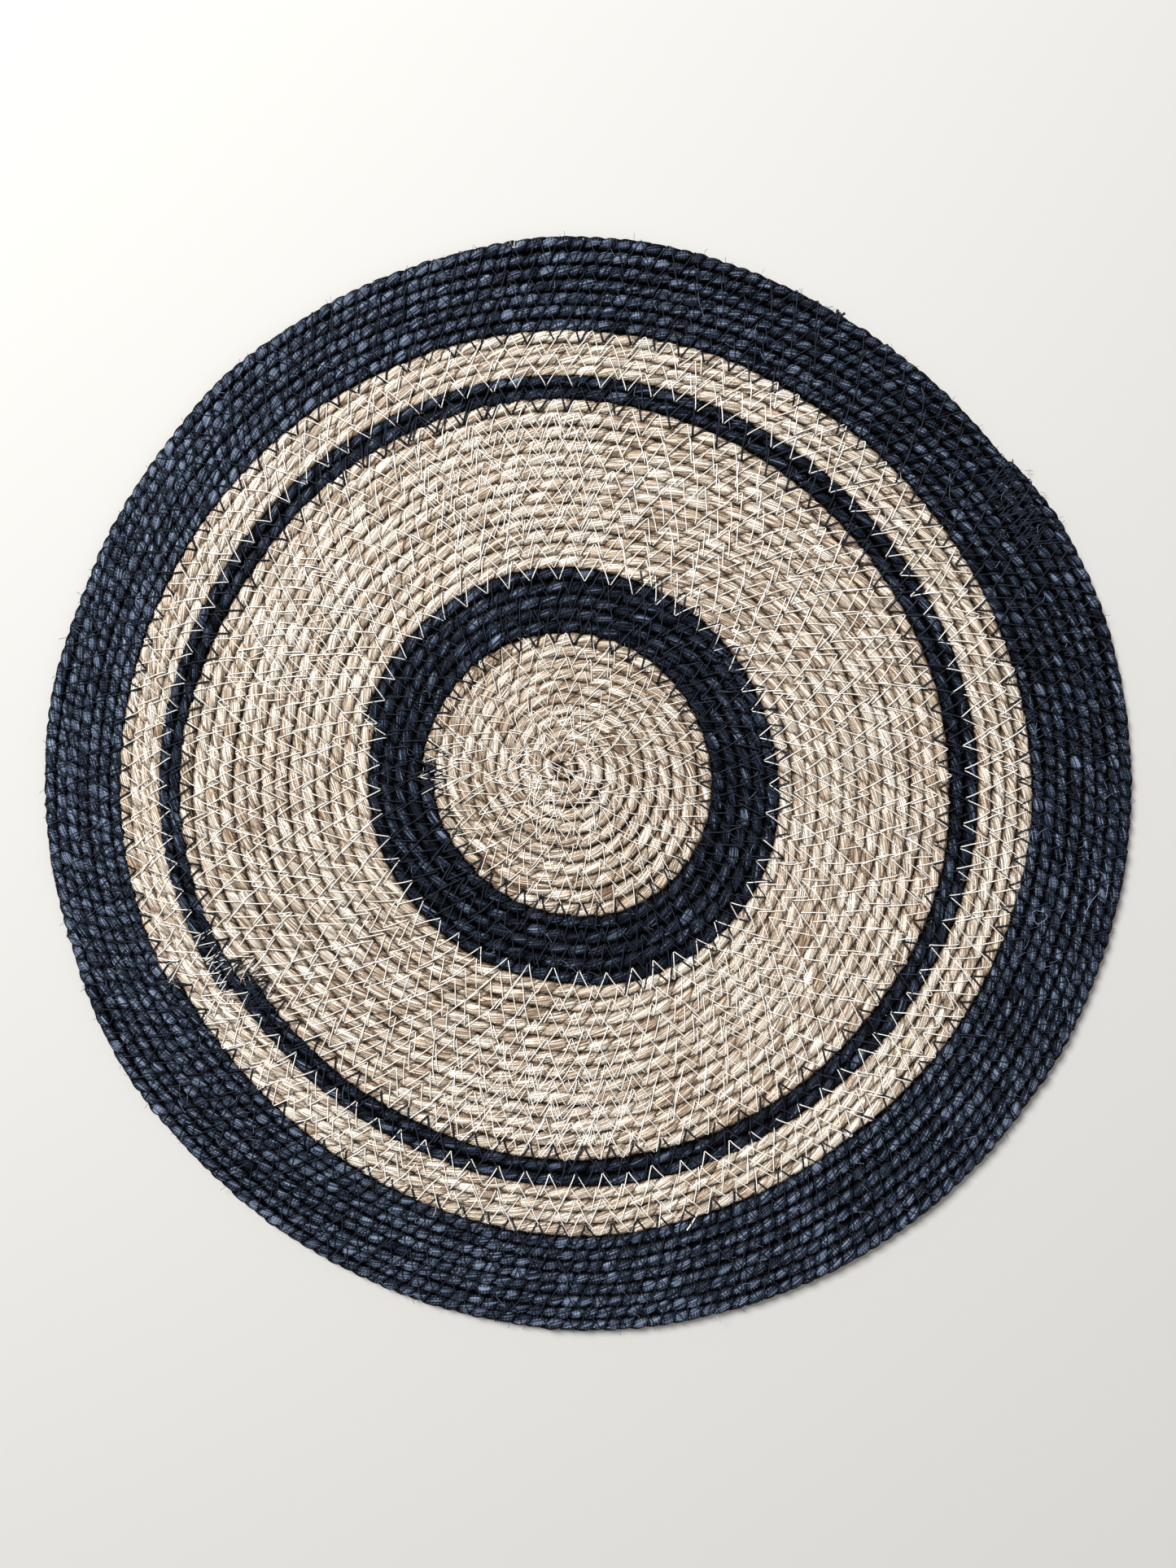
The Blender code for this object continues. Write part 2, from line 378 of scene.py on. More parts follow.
# The lights, and the photo's camera, which looks straight down
Lamp = namedtuple("Lamp", "name width place")
KEY_LAMP = Lamp("key_light", 0.8, (-0.97, 1.1, 1.63))
FILL_LAMP = Lamp("fill_light", 1.6, (1.0, -0.8, 1.3))
CAMERA_PLACE = (-0.04 * MM, -0.14 * MM, 416.5 * MM)
CAMERA_SENSOR = 36.0
CAMERA_LENS = 27.0
ROOM_TINT = (1.0, 0.99, 0.97, 1.0)
FLOOR_DROP = 0.05 * MM


def spiral_joins():
    """The turned angle and inner radius at the spiral's start, and where each length ends."""
    joins = [(float(SPIRAL_START), 0.0)]
    for rope in ROPES:
        start, radius = joins[-1]
        turned = rope.laps * TURN + (rope.ends_at - start) % TURN
        joins.append((start + turned, radius + rope.pitch * MM * turned / TURN))
    return joins


JOIN_ANGLES, JOIN_RADII = zip(*spiral_joins())


def inner_radius(turned):
    """The radius of the rope's inner side at these turned angles."""
    beyond = np.maximum(0.0, turned - JOIN_ANGLES[-1]) / TURN * ROPES[-1].pitch * MM
    return np.interp(turned, JOIN_ANGLES, JOIN_RADII) + beyond


def rope_width(turned):
    """The width that the spiral leaves for the rope."""
    return inner_radius(turned + TURN) - inner_radius(turned)


def apart(direction, other):
    """The angle from the other direction to this one, within half a turn."""
    return (direction - other + HALF_TURN) % TURN - HALF_TURN


def bulge(turned, radius):
    """How far the turns are pushed out at these places."""
    pushed = 0.0
    for row in BULGES:
        beside = apart(turned, row.heading) / row.spread
        beyond = (radius / MM - row.radius) / row.depth
        pushed = pushed + row.reach * MM * np.exp(-(beside**2) - beyond**2)
    return pushed


def toward(direction):
    """Steps of length one in plan, in these directions in radians."""
    return np.stack((np.cos(direction), np.sin(direction)), axis=-1)


def in_plan(turned, across):
    """XY places at these turned angles, from the rope's inner side (0) to its outer side (1)."""
    radius = inner_radius(turned) + across * rope_width(turned)
    stops = [row.radius * MM for row in DRIFT]
    right = np.interp(radius, stops, [row.right * MM for row in DRIFT])
    back = np.interp(radius, stops, [row.back * MM for row in DRIFT])
    swell = OVAL_REACH * np.minimum(1.0, radius / OVAL_FULL_RADIUS)
    reach = radius + swell * np.cos(2 * np.radians(turned - OVAL_HEADING)) + bulge(turned, radius)
    return np.stack((right, back), axis=-1) + reach[..., None] * toward(np.radians(turned))


def rim_share(turned):
    """The share of the rope's width that is left, where it is pared at the rim."""
    left = np.radians(JOIN_ANGLES[-1] - turned) * JOIN_RADII[-1] / RIM_TAPER
    return RIM_WIDTH + (1 - RIM_WIDTH) * np.clip(left, 0.0, 1.0)


def run_length(points):
    """The length along each line of points, from its first point to each."""
    steps = np.linalg.norm(np.diff(points, axis=-2), axis=-1)
    return np.concatenate((np.zeros_like(steps[..., :1]), np.cumsum(steps, axis=-1)), axis=-1)


def fine_steps(start, end, across):
    """Close turned angles along the spiral, and the length to each."""
    fine = np.linspace(start, end, int((end - start) * STEPS_A_DEGREE) + 2)
    return fine, run_length(in_plan(fine, across))


def even_stations(start, end):
    """Turned angles at even steps along the rope's middle, and the length to each."""
    fine, length = fine_steps(start, end, 0.5)
    even = np.linspace(0.0, length[-1], max(2, round(length[-1] / STEP) + 1))
    return np.interp(even, length, fine), even


def wander(rng, along, kind):
    """A smooth random value along a line."""
    knots = np.arange(along[0] - kind.spacing, along[-1] + 3 * kind.spacing, kind.spacing)
    heights = rng.normal(size=len(knots))
    place = (along - knots[0]) / kind.spacing
    k = np.clip(place.astype(int), 0, len(knots) - 2)
    share = place - k
    share = share * share * (3 - 2 * share)
    return kind.size * (heights[k] * (1 - share) + heights[k + 1] * share)


def ply_swell(angle):
    """A ply's reach at this angle from its middle, from the groove's share to 1."""
    return GROOVE_SHARE + (1 - GROOVE_SHARE) * np.abs(np.cos(angle)) ** PLY_ROUNDNESS


def section_height(direction):
    """The rope's rise at this direction of its section, fuller than a circle's."""
    rise = np.sin(direction)
    return np.sign(rise) * np.abs(rise) ** SECTION_FULLNESS


def bead_lean(direction, half_width):
    """How far forward the rope lies at this direction of its section."""
    return BEAD_LEAN * half_width * np.cos(direction) * np.sin(direction)


def section_reach(direction, twist):
    """The share of its half size that the rope reaches in this direction."""
    depth = SIDE_GROOVE + (1 - SIDE_GROOVE) * np.abs(np.sin(direction)) ** NOTCH_SPREAD
    return 1 - depth * (1 - ply_swell(direction - twist))


class Lay:
    """How one length of rope lies, with its twist, size and tone at each station."""

    def __init__(self, index, height):
        self.rope = ROPES[index]
        rng = np.random.default_rng(ROPE_SEED + index)
        start = JOIN_ANGLES[index] - (CORE_LEAD if index == 0 else 0)
        self.turned, self.along = even_stations(start, JOIN_ANGLES[index + 1])
        self.twist = 2 * math.pi * self.along / (self.rope.lay * MM)
        self.twist += wander(rng, self.along, TWIST_WANDER) + rng.uniform(0, 2 * math.pi)
        self.half_width = SIDE_OVERLAP * rope_width(self.turned) / 2
        self.half_height = np.full(len(self.turned), height / 2)
        self.middle = self.half_height.copy()
        self.shift = wander(rng, self.along, SIDE_WANDER)
        swell = [1 + wander(rng, self.along, SWELL_WANDER) for _ in range(PLIES)]
        self.swell = np.stack(swell, axis=1)
        self.tone = self.make_tone(rng)
        if index == 0:
            self.sink_start()
        if index == len(ROPES) - 1:
            self.pare_rim_end()
        self.round_ends()

    def make_tone(self, rng):
        """Each ply's lightness: slow drifts, single pale or brown beads, and patches of painted sheen
        and shade.
        """
        tones = []
        for ply in range(PLIES):
            bead = np.floor((self.twist + ply * math.pi) / math.pi).astype(int)
            bead -= bead.min()
            lot = rng.uniform(size=bead.max() + 1)
            single = PALE_TONE * (lot < PALE_BELOW) + BROWN_TONE * (lot > BROWN_ABOVE)
            single = single + BEAD_TONE * rng.normal(size=len(single))
            slow = sum(wander(rng, self.along, kind) for kind in TONE_WANDERS)
            tones.append(slow + single[bead] + self.rope.shade)
        # Painted sheen and painted shade by the heading round the mat
        painted_sheen_and_shade = sum(
            row.shade * np.exp(-((apart(self.turned, row.heading) / row.spread) ** 2))
            for row in SHEEN_AND_SHADE_PATCHES
            if row.name == self.rope.name
        )
        return np.stack(tones, axis=1) + np.reshape(painted_sheen_and_shade, (-1, 1))

    def sink_start(self):
        """The rope's start narrows and dives into the middle of the mat, in painted shade."""
        lead = np.clip((self.turned - self.turned[0]) / CORE_GROWTH, 0.0, 1.0)
        share = CORE_HEIGHT + (1 - CORE_HEIGHT) * lead
        # Painted shade where the start dives into the middle
        self.tone += CORE_PAINTED_SHADE * (1 - lead[:, None])
        self.half_height *= share
        self.half_width *= CORE_WIDTH + (1 - CORE_WIDTH) * lead
        self.middle *= share

    def pare_rim_end(self):
        """The last stretch is pared, and drawn in against the turn inside it."""
        share = rim_share(self.turned)
        self.shift -= (1 - share) * self.half_width
        self.half_width *= share
        self.half_height *= RIM_HEIGHT + (1 - RIM_HEIGHT) * share

    def round_ends(self):
        """Both cut ends are a little rounded."""
        for distance in (self.along, self.along[-1] - self.along):
            gap = np.clip(1 - distance / END_ROUNDING, 0.0, 1.0)
            share = np.maximum(END_SHARE, np.sqrt(1 - gap**2))
            self.half_width *= share
            self.half_height *= share


def top_height(lays, turned, across, top):
    """The height of the rope's upper (top 1) or under (top -1) face at these places."""
    aside = np.clip((across - 0.5) * 2 / SIDE_OVERLAP, -1.0, 1.0)
    direction = top * np.arccos(aside)
    width = rope_width(turned)
    lean = bead_lean(direction, SIDE_OVERLAP * width / 2)
    turned = turned - np.degrees(lean / np.maximum(inner_radius(turned), width))
    stations = np.concatenate([lay.turned for lay in lays])
    order = np.argsort(stations, kind="stable")
    twist = np.interp(turned, stations[order], np.concatenate([lay.twist for lay in lays])[order])
    half = lays[0].half_height.max()
    return half + half * section_height(direction) * section_reach(direction, twist)


def mesh_piece(name, material, points, faces, strand, sheet, smooth_angle=HALF_TURN, **values):
    """A mesh object of points and faces of four corners.

    Strand and sheet have a place for each corner of each face, and values one number for each point."""
    mesh = bpy.data.meshes.new(name)
    mesh.from_pydata(points.tolist(), [], faces.tolist())
    for layer, places in (("strand", strand), ("OFBake", sheet)):
        uv = mesh.uv_layers.new(name=layer)
        uv.data.foreach_set("uv", places.astype(np.float32).ravel())
    for attribute, carried in values.items():
        made = mesh.attributes.new(attribute, "FLOAT", "POINT")
        made.data.foreach_set("value", carried.astype(np.float32).ravel())
    mesh.shade_smooth()
    mesh.set_sharp_from_angle(angle=math.radians(smooth_angle))
    mesh.materials.append(material)
    piece = bpy.data.objects.new(name, mesh)
    bpy.context.scene.collection.objects.link(piece)
    return piece


def ring_faces(rows, sides):
    """The faces of a tube of this many rows of points."""
    row = np.arange(rows - 1)[:, None] * sides
    here = np.arange(sides)[None, :]
    following = (here + 1) % sides
    corners = (row + here, row + following, row + sides + following, row + sides + here)
    return np.stack(corners, axis=-1).reshape(-1, 4)


def rope_section(lay):
    """The rope's points, a row for each station, and what each point carries for the finish."""
    local = np.radians(np.tile(PLY_ANGLES, PLIES))
    ply = np.repeat(np.arange(PLIES), len(PLY_ANGLES))
    direction = lay.twist[:, None] + (local + ply * math.pi)[None, :]
    reach = section_reach(direction, lay.twist[:, None])
    swell = lay.swell[:, ply]
    middle = in_plan(lay.turned, 0.5)
    heading = np.gradient(middle, axis=0)
    heading /= np.linalg.norm(heading, axis=1, keepdims=True)
    outward = np.stack((heading[:, 1], -heading[:, 0]), axis=1)
    sideways = reach * (1 + swell) / 2 * np.cos(direction)
    aside = lay.shift[:, None] + lay.half_width[:, None] * sideways
    upwards = reach * swell * section_height(direction)
    up = lay.middle[:, None] + lay.half_height[:, None] * upwards
    up = np.maximum(up, UNDER_LIFT)
    lean = bead_lean(direction, lay.half_width[:, None])
    plan = middle[:, None, :] + aside[:, :, None] * outward[:, None, :]
    plan += lean[:, :, None] * heading[:, None, :]
    points = np.concatenate((plan, up[:, :, None]), axis=2)
    # How deep each point lies in a ply's groove and in the seam between turns: masks for the painted
    # shade there and the painted highlight on the crests
    groove = 1 - (ply_swell(direction - lay.twist[:, None]) - GROOVE_SHARE) / (1 - GROOVE_SHARE)
    seam = np.clip((1 - np.abs(section_height(direction))) / SEAM_SINK, 0, 1)
    carried = {"groove": groove, "seam": seam, "tone": lay.tone[:, ply], "height": up}
    bead = np.floor((lay.twist[:, None] + ply * math.pi) / math.pi)
    along = lay.along[:, None] + lean
    return points, carried, along, aside + FIBRE_TILT * along, bead * BEAD_OFFSET


def face_corners(values):
    """The values at every face's four corners, from one for each point."""
    beside = np.roll(values, -1, axis=1)
    return np.stack((values[:-1], beside[:-1], beside[1:], values[1:]), axis=-1)


def lengthwise_corners(first, last):
    """The values at a face's four corners, from those at its two ends."""
    return np.stack((first, first, last, last), axis=-1)


def round_corners(sides):
    """The share of the way round a tube at the four corners of each side's face."""
    edge = np.arange(sides) / sides
    return np.stack((edge, edge + 1 / sides, edge + 1 / sides, edge), axis=-1)


def corner_places(across, up):
    """The two places of every face corner, as rows of one UV map."""
    return np.stack(np.broadcast_arrays(across, up), axis=-1).reshape(-1, 4, 2)


def sheet_places(rows, sides):
    """The places of each face corner on the rope's sheet, unrolled in rows."""
    per_row = math.ceil((rows - 1) / BAKE_ROWS)
    station = np.arange(rows - 1)
    start = (station % per_row) / per_row
    ends = lengthwise_corners(start, start + 1 / per_row)[:, None, :]
    row_start = (station // per_row)[:, None, None]
    margin = BAKE_MARGIN * BAKE_ROWS
    up = (row_start + margin + (1 - 2 * margin) * round_corners(sides)[None]) / BAKE_ROWS
    return corner_places(BAKE_MARGIN + (1 - 2 * BAKE_MARGIN) * ends, up)


def cap_faces(first, sides):
    """Quads that close a tube's end over an even number of sides."""
    low = first + np.arange(sides // 2 - 1)
    high = 2 * first + sides - 1 - low
    return np.stack((low, low + 1, high - 1, high), axis=1)


def make_rope(lay, material):
    """One length of two-ply rope."""
    points, carried, along, across, offset = rope_section(lay)
    rows, sides = along.shape
    strand = corner_places(face_corners(along), face_corners(across) + offset[:-1, :, None])
    sheet = sheet_places(rows, sides)
    caps = (cap_faces(0, sides)[:, ::-1], cap_faces((rows - 1) * sides, sides))
    faces = np.concatenate((ring_faces(rows, sides), *caps))
    bare = len(faces) - len(sheet)
    layers = [np.concatenate((layer, layer[[-1] * bare])) for layer in (strand, sheet)]
    name = lay.rope.name + "_rope"
    return mesh_piece(name, material, points.reshape(-1, 3), faces, *layers, GROOVE_ANGLE, **carried)


def leg_path(lays, tips, bow, places, top, radius):
    """The points of every leg with these tips, from zigzag. Its middle lies aside by the bow."""
    place = np.array(places)[None, :]
    share = (place + 1) / 2
    turned = tips[:, 0:1] * (1 - share) + tips[:, 1:2] * share
    place = place * np.where(place < 0, tips[:, 2:3], tips[:, 3:4])
    whole = np.where(place < 0, -1.0, 0.0)
    across = (place - whole) * np.where(place > 0, rim_share(turned), 1.0)
    plan = in_plan(turned + whole * TURN, across)
    heights = []
    for offset in SETTLE:
        nearby = np.clip(place + offset, -1.0, LAST_PLACE)
        lap = np.floor(nearby)
        heights.append(top_height(lays, turned + lap * TURN, nearby - lap, top))
    rest = np.max(heights, axis=0) if top > 0 else np.min(heights, axis=0)
    if 0.0 in places:
        seam = places.index(0.0)
        bridge = (rest[:, seam - 1] + rest[:, seam + 1]) / 2
        rest[:, seam] += (1 - SEAM_DIP) * (bridge - rest[:, seam])
    up = rest + top * THREAD_LIFT * radius[:, None]
    up[:, (0, -1)] = rest[:, (0, -1)] - top * TIP_SINK
    if top < 0:
        up = np.maximum(up, radius[:, None])
    chord = plan[:, -1] - plan[:, 0]
    aside = np.stack((chord[:, 1], -chord[:, 0]), axis=1)
    aside *= (bow / np.linalg.norm(chord, axis=1))[:, None]
    plan = plan + aside[:, None, :] * (1 - place**2)[:, :, None]
    return np.concatenate((plan, up[:, :, None]), axis=2)


def tubes(paths, radius, tone, first, columns):
    """A three-sided tube along every path, its flat side towards the mat.

    Each has its own cell of the sheet, from the first on, in so many columns. Gives the points,
    faces, places on the strand and sheet, and tones."""
    count, rows, _ = paths.shape
    radius = np.broadcast_to(radius, count)[:, None, None]
    heading = np.gradient(paths, axis=1)
    heading[:, :, 2] = 0
    heading /= np.linalg.norm(heading, axis=2, keepdims=True) + 1e-12
    aside = np.stack((heading[:, :, 1], -heading[:, :, 0], np.zeros((count, rows))), axis=2)
    outer = np.where(paths[:, :, 2:] > TOP / 2, 1.0, -1.0) * np.array((0, 0, 1.0))
    section = (aside - FLAT_SIDE * outer, -aside - FLAT_SIDE * outer, RIDGE * outer)
    flip = outer[:, 0, 2] < 0
    points = np.stack([paths + radius * corner for corner in section], axis=2)
    points[flip] = points[flip][:, :, [1, 0, 2]]
    sides = len(section)
    faces = ring_faces(rows, sides)[None] + np.arange(count)[:, None, None] * rows * sides
    length = run_length(paths)
    along = lengthwise_corners(length[:, :-1], length[:, 1:])[:, :, None, :]
    around = np.broadcast_to(round_corners(sides), (count, rows - 1, sides, 4))
    share = np.arange(rows) / (rows - 1)
    share = lengthwise_corners(share[:-1], share[1:])[None, :, None, :]
    number = first + np.arange(count)[:, None, None, None]
    inside = 1 - 2 * CELL_MARGIN
    sheet_right = (number % columns + CELL_MARGIN + inside * share) / columns
    sheet_up = (number // columns + CELL_MARGIN + inside * around) / columns
    strand = corner_places(along + TWIST_OFFSET * number, around * WAY_ROUND * radius[..., None])
    sheet = corner_places(sheet_right, sheet_up)
    return points.reshape(-1, 3), faces.reshape(-1, 4), strand, sheet, np.repeat(tone, rows * sides)


def tubes_piece(name, groups, material):
    """One piece of tubes, from groups of paths, each group with its radius and tone."""
    columns = math.ceil(math.sqrt(sum(len(paths) for paths, _, _ in groups)))
    made = []
    tube = point = 0
    for paths, radius, tone in groups:
        points, faces, *carried = tubes(paths, radius, tone, tube, columns)
        made.append((points, faces + point, *carried))
        tube += len(paths)
        point += len(points)
    points, faces, strand, sheet, tone = map(np.concatenate, zip(*made))
    return mesh_piece(name, material, points, faces, strand, sheet, tone=tone)


def half_gaps(rng, gap, count):
    """Half the way between the two legs at each of these tips."""
    return (gap.least + gap.spread * rng.uniform(size=count) ** 2) / 2


def zigzag(rng, start, end, stitch, unevenness):
    """Every leg's two tips along the seam from start to end: turned angles, then reaches.

    Two legs that meet have nearly the same tip. A reach is a share of a turn's width."""
    fine, length = fine_steps(start, end, 0.0)
    count = max(2, int(length[-1] / (stitch * MM)))
    stray = unevenness * stitch * MM
    outer = np.arange(count + 1) * length[-1] / count
    outer[1:-1] += stray * rng.uniform(-1, 1, count - 1)
    inner = (outer[:-1] + outer[1:]) / 2 + stray * rng.uniform(-1, 1, count) / 2
    half_inner = half_gaps(rng, INNER_GAP, count)
    half_outer = half_gaps(rng, OUTER_GAP, count + 1)
    reach = np.clip(rng.normal(LEG_REACH, LEG_REACH_SPREAD, 2 * count + 1), *LEG_REACH_LIMITS)
    legs = []
    for way, outers in ((-1, slice(0, count)), (1, slice(1, count + 1))):
        places = (inner + way * half_inner, (outer - way * half_outer)[outers])
        turned = np.interp(places, length, fine)
        legs.append(np.stack((*turned, reach[:count], reach[count:][outers]), axis=1))
    return np.concatenate(legs)


def sew(name, lays, rng, tips, thread, material, shade=0.0):
    """Sewing with these legs on both faces. Each may have its own width and shade."""
    radius = np.broadcast_to(thread / 2, len(tips))
    tone = shade + rng.normal(size=len(tips))
    bow = BOW * rng.normal(size=len(tips))
    faces = ((1, LEG_TOP), (-1, LEG_UNDER))
    legs = [leg_path(lays, tips, bow, places, top, radius) for top, places in faces]
    return tubes_piece(name, [(paths, radius, tone) for paths in legs], material)


def make_sewing(lays, index, thread, material):
    """The zigzag of one length's seams."""
    rope = ROPES[index]
    rng = np.random.default_rng(SEWING_SEED + index)
    start = JOIN_ANGLES[index] + (FIRST_SEAM if index == 0 else 0)
    tips = zigzag(rng, start, JOIN_ANGLES[index + 1], rope.stitch, STITCH_UNEVENNESS)
    at_edge = (rope.finish == "navy") & (tips[:, 0] < start + TURN)
    thread = thread * np.where(at_edge, EDGE_SHARE, rope.thread)
    shade = np.where(at_edge, EDGE_TONE, 0.0)
    return sew(rope.name + "_sewing", lays, rng, tips, thread, material, shade)


def resewn_tips(rng, row):
    """The tips of the legs in one stretch that was gone over again."""
    laps = range(math.ceil(JOIN_ANGLES[-1] / TURN))
    middles = [row.heading + lap * TURN for lap in laps]
    seams = [middle for middle in middles if row.inner < inner_radius(middle) / MM < row.outer]
    return np.concatenate([
        zigzag(rng, seam - row.spread, seam + row.spread, row.stitch, row.unevenness)
        for seam in seams
    ])


def make_resewing(lays, finish, thread, material):
    """All the stretches that were gone over again in one thread."""
    rng = np.random.default_rng(RESEWING_SEED + len(finish))
    rows = [row for row in RESEWN if row.finish == finish]
    stretches = [resewn_tips(rng, row) for row in rows]
    widths = [np.full(len(tips), row.thread * thread) for row, tips in zip(rows, stretches)]
    tips = np.concatenate(stretches)
    return sew(finish + "_resewing", lays, rng, tips, np.concatenate(widths), material)


def make_middle_threads(thread, material):
    """Straight threads over the first turns, on both faces."""
    rng = np.random.default_rng(MIDDLE_SEED)
    count = MIDDLE_SETS * MIDDLE_SET
    radius = thread / 2
    away = rng.uniform(0, 2 * math.pi, MIDDLE_SETS)
    reach = MIDDLE_REACH * np.sqrt(rng.uniform(size=MIDDLE_SETS))
    lie = rng.uniform(0, math.pi, MIDDLE_SETS)
    away, reach, lie = np.repeat((away, reach, lie), MIDDLE_SET, axis=1)
    middle = np.array((DRIFT[0].right, DRIFT[0].back)) * MM + reach[:, None] * toward(away)
    stray = rng.uniform(-MIDDLE_STRAY, MIDDLE_STRAY, count)
    beside = MIDDLE_GAP * (np.arange(count) % MIDDLE_SET + stray)
    middle += beside[:, None] * np.stack((-np.sin(lie), np.cos(lie)), axis=1)
    lie += rng.normal(0, MIDDLE_TURN, count)
    half = rng.uniform(*MIDDLE_HALF_LENGTHS, count)
    arm = half[:, None] * toward(lie)
    place = np.array(LEG_TOP)
    plan = middle[:, None, :] + arm[:, None, :] * place[None, :, None]
    tone = rng.normal(size=count)
    groups = []
    for level, sink in ((TOP, MIDDLE_SINK), (radius, -MIDDLE_SINK)):
        up = np.full((count, len(place), 1), level)
        up[:, (0, -1)] -= sink
        groups.append((np.concatenate((plan, up), axis=2), radius, tone))
    return tubes_piece("middle_threads", groups, material)


def hair_paths(root, heading, length, turn, rise, points):
    """Curved hairs from these roots: each turns along its length and rises to its tip."""
    share = np.linspace(0.0, 1.0, points)
    turned = share + CURL_BITE * np.sin(2 * math.pi * CURL_CORNERS * share)
    angle = heading[:, None] + turn[:, None] * turned[None, :-1]
    walk = np.cumsum(toward(angle) * (length / (points - 1))[:, None, None], axis=1)
    plan = root[:, None, :2] + np.concatenate((np.zeros((len(root), 1, 2)), walk), axis=1)
    up = np.maximum(root[:, 2:] + rise[:, None] * share[None, :] ** 2, HAIR_WIDTH)
    return np.concatenate((plan, up[:, :, None]), axis=2)


def rooted_hairs(rng, kind, turned, across):
    """Hairs of one kind from these places on the rope."""
    count = len(turned)
    level = rng.uniform(kind.low, kind.high, count)
    heading = np.radians(turned + kind.heading) + rng.normal(kind.lean, kind.spread, count)
    if kind.both_ways:
        heading += math.pi * rng.integers(0, 2, count)
    length = rng.uniform(kind.shortest, kind.longest, count)
    turn = rng.normal(0, kind.bend, count)
    rise = rng.normal(0, kind.rise, count) if kind.droop else rng.uniform(0, kind.rise, count)
    root = np.concatenate((in_plan(turned, across), level[:, None]), axis=1)
    return hair_paths(root, heading, length, turn, rise, HAIR_POINTS)


def top_hairs(rng, lay):
    """Hairs over the crests of one length."""
    count = int(lay.along[-1] * HAIRS_A_METRE[lay.rope.finish])
    turned = rng.uniform(lay.turned[0] + TURN / 4, lay.turned[-1], count)
    return rooted_hairs(rng, TOP_HAIRS, turned, rng.uniform(*TOP_ACROSS, count))


def rim_hairs(rng):
    """Short hairs that stand out all round the rim."""
    turned = rng.uniform(JOIN_ANGLES[-1] - TURN, JOIN_ANGLES[-1], RIM_HAIRS)
    return rooted_hairs(rng, RIM_ENDS, turned, np.full(RIM_HAIRS, RIM_HAIR_ACROSS))


def join_hairs(rng, index):
    """Frayed ends where two lengths meet."""
    beside = rng.normal(0, JOIN_SPREAD, JOIN_HAIRS) / JOIN_RADII[index]
    turned = JOIN_ANGLES[index] + np.degrees(beside)
    return rooted_hairs(rng, JOIN_ENDS, turned, rng.uniform(*JOIN_ACROSS, JOIN_HAIRS))


def stray_paths(row):
    """The path of one stray end."""
    root = np.array(((row.right * MM, row.back * MM, STRAY_ROOT_HEIGHT),))
    heading, turn = np.radians(((row.heading,), (row.turn,)))
    length, rise = np.array(((row.length,), (row.rise,))) * MM
    return hair_paths(root, heading, length, turn, rise, STRAY_POINTS)


def make_fibres(lays, finish, material):
    """The hairs, frayed ends and single stray ends in one finish."""
    rng = np.random.default_rng(FIBRE_SEED + len(finish))
    ropes = [lay for lay in lays if lay.rope.finish == finish]
    hairs = [(top_hairs(rng, lay), HAIR_WIDTH, 0.0) for lay in ropes]
    width = JOIN_WIDTH_SHARE * HAIR_WIDTH
    hairs += [(join_hairs(rng, index), width, JOIN_TONE) for index in range(1, len(ROPES))]
    if finish == lays[-1].rope.finish:
        hairs.append((rim_hairs(rng), HAIR_WIDTH, 0.0))
    groups = [(paths, width / 2, tone + rng.normal(size=len(paths))) for paths, width, tone in hairs]
    strays = [row for row in STRAYS if row.finish == finish]
    groups += [(stray_paths(row), row.width * MM / 2, np.array([row.tone])) for row in strays]
    return tubes_piece(finish + "_fibres", groups, material)


class Socket:
    """One output of a shader node. Arithmetic on it adds Math nodes."""

    def __init__(self, graph, output):
        self.graph = graph
        self.output = output

    def math(self, operation, *others):
        """A Math node on this value and the others."""
        return self.graph.maths(operation, self, *others)

    def __add__(self, other):
        return self.math("ADD", other)

    def __sub__(self, other):
        return self.math("SUBTRACT", other)

    def __rsub__(self, other):
        return self.graph.maths("SUBTRACT", other, self)

    def __mul__(self, other):
        return self.math("MULTIPLY", other)

    def __abs__(self):
        return self.math("ABSOLUTE")

    __radd__ = __add__
    __rmul__ = __mul__

    def clamped(self):
        """The value, held between 0 and 1."""
        return self.graph.node("ShaderNodeClamp", {}, {0: self})

    def over(self, low, high):
        """0 below low, 1 above high, and even between them."""
        sockets = {"Value": self, "From Min": low, "From Max": high}
        return self.graph.node("ShaderNodeMapRange", {"clamp": True}, sockets)


